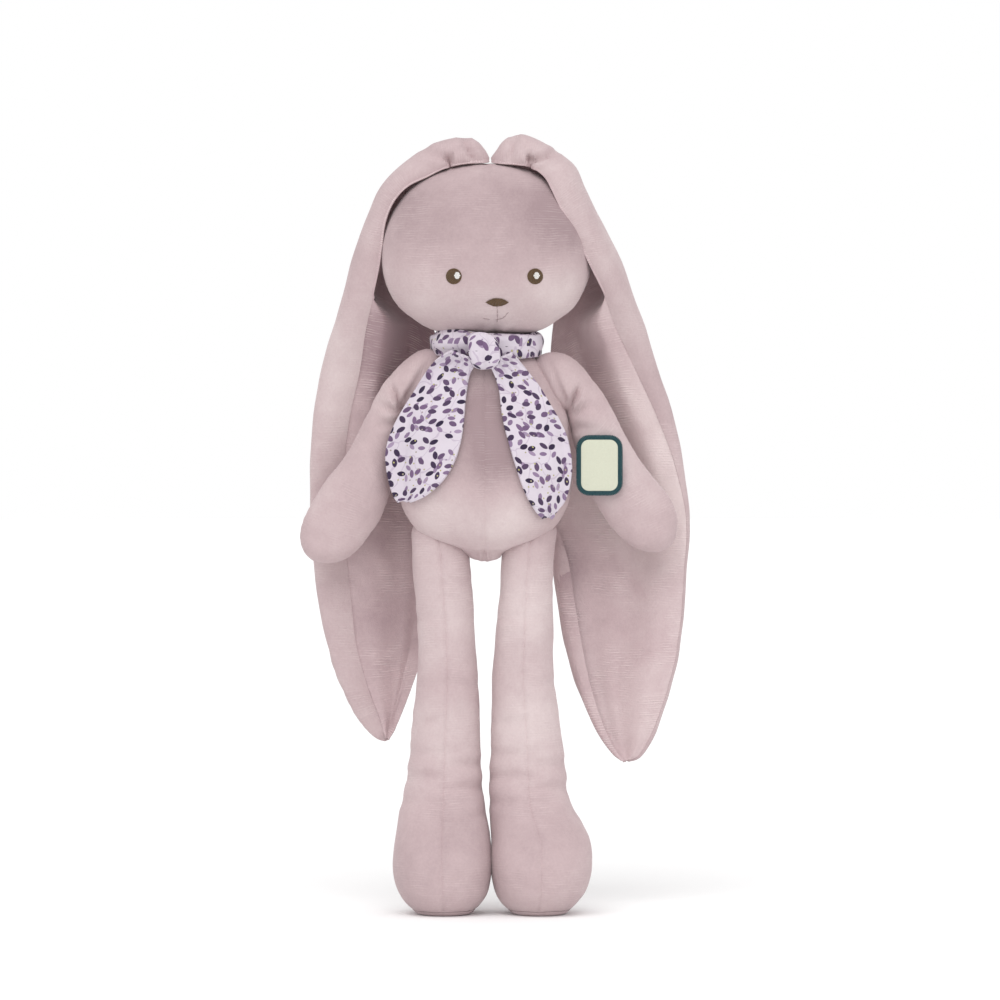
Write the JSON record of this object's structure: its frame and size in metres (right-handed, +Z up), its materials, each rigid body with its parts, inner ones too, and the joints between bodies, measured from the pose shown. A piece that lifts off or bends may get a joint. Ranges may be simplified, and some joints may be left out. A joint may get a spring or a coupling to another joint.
{
  "type": "stuffed bunny rabbit",
  "caption": "Soft standing rabbit doll in pile fabric with long hanging ears, loose arms and legs, a tied printed neck scarf and a sewn side label.",
  "frame": {"origin": "on the floor, at the middle of the doll's outline seen from above", "axes": "+Z up, the face looks along -Y, +X is the doll's own left"},
  "size_m": [0.1744, 0.0665, 0.3485],
  "materials": {
    "velour": "matte",
    "velour_lining": "matte",
    "filling": "matte",
    "thread_brown": "satin",
    "thread_white": "satin",
    "thread_rose": "satin",
    "scarf_cotton": "matte",
    "label_teal": "satin",
    "label_cream": "satin"
  },
  "bodies": {
    "torso": {"torso_front_right": "velour", "torso_front_left": "velour", "torso_back": "velour", "torso_stuffing": "filling", "scarf_band": "scarf_cotton", "scarf_knot": "scarf_cotton"},
    "neck": {"neck_gather": "velour_lining"},
    "head": {"head_front": "velour", "head_back": "velour", "head_stuffing": "filling", "eye_right": "thread_brown", "eye_left": "thread_brown", "eye_glint_right": "thread_white", "eye_glint_left": "thread_white", "nose": "thread_brown", "mouth_stitches": "thread_rose"},
    "ear_right": {"ear_right_outer": "velour", "ear_right_lining": "velour_lining"},
    "ear_left": {"ear_left_outer": "velour", "ear_left_lining": "velour_lining"},
    "arm_right": {"arm_right_front": "velour", "arm_right_back": "velour", "arm_right_stuffing": "filling"},
    "arm_left": {"arm_left_front": "velour", "arm_left_back": "velour", "arm_left_stuffing": "filling"},
    "leg_right": {"leg_right_outer": "velour", "leg_right_inner": "velour", "leg_right_sole": "velour", "leg_right_stuffing": "filling"},
    "leg_left": {"leg_left_outer": "velour", "leg_left_inner": "velour", "leg_left_sole": "velour", "leg_left_stuffing": "filling"},
    "tail_right": {"scarf_tail_right": "scarf_cotton"},
    "tail_left": {"scarf_tail_left": "scarf_cotton"},
    "label": {"label_backing": "label_teal", "label_face": "label_cream"}
  },
  "joints": [
    {"name": "head_tilt", "type": "hinge", "parent": "torso", "child": "neck", "pos_m": [-0.0034, 0, 0.2579], "axis": [0, 1, 0], "range_deg": [-10, 10]},
    {"name": "head_nod", "type": "hinge", "parent": "neck", "child": "head", "pos_m": [-0.0034, 0, 0.2579], "axis": [1, 0, 0], "range_deg": [0, 12]},
    {"name": "ear_right_lift", "type": "hinge", "parent": "head", "child": "ear_right", "pos_m": [-0.0089, 0.002, 0.3408], "axis": [0, 1, 0], "range_deg": [0, 60]},
    {"name": "ear_left_lift", "type": "hinge", "parent": "head", "child": "ear_left", "pos_m": [0.0041, 0.002, 0.3407], "axis": [0, -1, 0], "range_deg": [0, 60]},
    {"name": "arm_right_lift", "type": "hinge", "parent": "torso", "child": "arm_right", "pos_m": [-0.0367, 0, 0.24246], "axis": [0, 1, 0], "range_deg": [0, 55]},
    {"name": "arm_left_lift", "type": "hinge", "parent": "torso", "child": "arm_left", "pos_m": [0.0299, 0, 0.24246], "axis": [0, -1, 0], "range_deg": [0, 55]},
    {"name": "leg_right_swing", "type": "hinge", "parent": "torso", "child": "leg_right", "pos_m": [-0.0216, 0, 0.152], "axis": [-1, 0, 0], "range_deg": [0, 90]},
    {"name": "leg_left_swing", "type": "hinge", "parent": "torso", "child": "leg_left", "pos_m": [0.0148, 0, 0.152], "axis": [-1, 0, 0], "range_deg": [0, 90]},
    {"name": "tail_right_lift", "type": "hinge", "parent": "torso", "child": "tail_right", "pos_m": [-0.0225, -0.0252, 0.2471], "axis": [-1, 0, 0], "range_deg": [0, 70]},
    {"name": "tail_left_lift", "type": "hinge", "parent": "torso", "child": "tail_left", "pos_m": [0.01, -0.0252, 0.2471], "axis": [-1, 0, 0], "range_deg": [0, 70]},
    {"name": "label_flap", "type": "hinge", "parent": "torso", "child": "label", "pos_m": [0.0375, -0.013, 0.2026], "axis": [0, 0, -1], "range_deg": [0, 90]}
  ]
}
